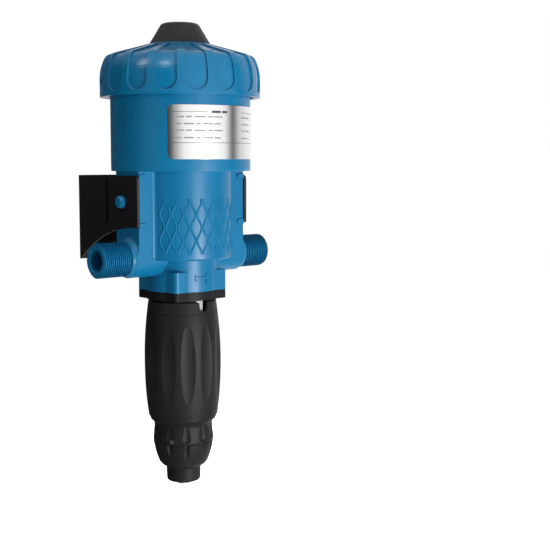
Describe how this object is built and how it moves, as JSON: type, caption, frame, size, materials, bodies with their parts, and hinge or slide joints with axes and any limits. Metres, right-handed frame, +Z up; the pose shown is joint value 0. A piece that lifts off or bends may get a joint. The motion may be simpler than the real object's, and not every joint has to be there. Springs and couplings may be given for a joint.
{
  "type": "water-powered dosing pump",
  "caption": "Upright in-line dosing pump: blue motor cylinder with screw cap and side ports, black adjusting sleeve and suction end below, on a wall bracket.",
  "frame": {"origin": "centre of the suction tail's mouth, at the foot of the pump", "axes": "+Z up the pump's axis, +X from the inlet to the outlet, +Y towards the wall"},
  "size_m": [0.161, 0.1263, 0.3653],
  "materials": {
    "body_blue": "satin moulded blue plastic",
    "cap_blue": "satin moulded blue plastic",
    "port_blue": "satin moulded blue plastic, threaded",
    "black_plastic": "satin black moulded plastic",
    "grip_black": "fine satin black plastic",
    "bracket_black": "flat black",
    "button_grey": "satin dark grey plastic",
    "plate_silver": "brushed silver foil",
    "scale_white": "off-white plastic strip",
    "inner_ivory": "natural engineering plastic",
    "inner_grey": "grey engineering plastic",
    "tail_grey": "light grey translucent plastic",
    "seal_rubber": "black sealing rubber",
    "stainless": "stainless steel"
  },
  "bodies": {
    "housing": {"pump_body": "body_blue", "inlet_nipple": "port_blue", "outlet_nipple": "port_blue", "rating_plate": "plate_silver", "wall_bracket": "bracket_black", "lower_liner": "inner_ivory", "liner_seal": "seal_rubber", "dosing_stem": "black_plastic", "stem_seal": "seal_rubber", "stem_screws": "stainless", "dosage_scale": "scale_white"},
    "head": {"head_cover": "inner_ivory", "head_seal": "seal_rubber"},
    "cap": {"screw_cap": "cap_blue"},
    "bleed": {"bleed_button": "button_grey", "bleed_stem": "stainless", "bleed_seal": "seal_rubber", "bleed_spring": "stainless"},
    "motor": {"piston_head": "inner_ivory", "piston_skirt": "inner_ivory", "piston_ring": "seal_rubber", "skirt_seal": "seal_rubber", "plunger_rod": "inner_grey", "plunger_seal": "seal_rubber", "toggle_pins": "stainless"},
    "valve_gear": {"push_rod": "stainless", "upper_valve_spider": "inner_grey", "upper_valves": "seal_rubber", "lower_valve_spider": "inner_grey", "lower_valves": "seal_rubber"},
    "toggle_left": {"toggle_left": "inner_grey"},
    "toggle_right": {"toggle_right": "inner_grey"},
    "dosing": {"dosing_cylinder": "inner_ivory", "cylinder_seal": "seal_rubber", "retaining_clip": "stainless", "valve_collar": "grip_black", "suction_spring": "stainless"},
    "sleeve": {"adjusting_sleeve": "grip_black"},
    "tail": {"suction_tail": "tail_grey", "tail_gasket": "seal_rubber"},
    "nut": {"hose_nut": "grip_black"},
    "suction_cone": {"suction_valve": "seal_rubber"}
  },
  "joints": [
    {"name": "head_lift", "type": "slide", "parent": "housing", "child": "head", "axis": [0, 0, 1], "range_m": [0, 0.006]},
    {"name": "cap_turn", "type": "hinge", "parent": "head", "child": "cap", "pos_m": [0, 0, 0.3078], "axis": [0, 0, 1], "range_deg": [0, 540]},
    {"name": "bleed_press", "type": "slide", "parent": "head", "child": "bleed", "axis": [0, 0, -1], "range_m": [0, 0.003], "stiffness_N_per_m": 900, "springref_m": -0.002, "deforming": ["bleed_spring"]},
    {"name": "motor_stroke", "type": "slide", "parent": "housing", "child": "motor", "axis": [0, 0, 1], "range_m": [0, 0.024]},
    {"name": "valve_shift", "type": "slide", "parent": "motor", "child": "valve_gear", "axis": [0, 0, 1], "range_m": [0, 0.0057]},
    {"name": "toggle_left_swing", "type": "hinge", "parent": "motor", "child": "toggle_left", "pos_m": [-0.0146, 0, 0.2524], "axis": [0, -1, 0], "range_deg": [0, 33.13]},
    {"name": "toggle_right_swing", "type": "hinge", "parent": "motor", "child": "toggle_right", "pos_m": [0.0146, 0, 0.2524], "axis": [0, 1, 0], "range_deg": [0, 33.13]},
    {"name": "dose_travel", "type": "slide", "parent": "housing", "child": "dosing", "axis": [0, 0, -1], "range_m": [0, 0.015]},
    {"name": "sleeve_turn", "type": "hinge", "parent": "dosing", "child": "sleeve", "pos_m": [0, 0, 0.0574], "axis": [0, 0, -1], "range_deg": [0, 1080]},
    {"name": "tail_drop", "type": "slide", "parent": "dosing", "child": "tail", "axis": [0, 0, -1], "range_m": [0, 0.006]},
    {"name": "nut_turn", "type": "hinge", "parent": "tail", "child": "nut", "pos_m": [0, 0, 0.0029], "axis": [0, 0, -1], "range_deg": [0, 720]},
    {"name": "suction_lift", "type": "slide", "parent": "dosing", "child": "suction_cone", "axis": [0, 0, 1], "range_m": [0, 0.003], "stiffness_N_per_m": 30, "springref_m": -0.001, "deforming": ["suction_spring"]}
  ],
  "couplings": [
    {"joint": "head_lift", "follows": "cap_turn", "m_per_rad": 0.00063662},
    {"joint": "toggle_left_swing", "follows": "valve_shift", "rad_per_m": 101.41},
    {"joint": "toggle_right_swing", "follows": "valve_shift", "rad_per_m": 101.41},
    {"joint": "dose_travel", "follows": "sleeve_turn", "m_per_rad": 0.00079577},
    {"joint": "tail_drop", "follows": "nut_turn", "m_per_rad": 0.00047746}
  ]
}
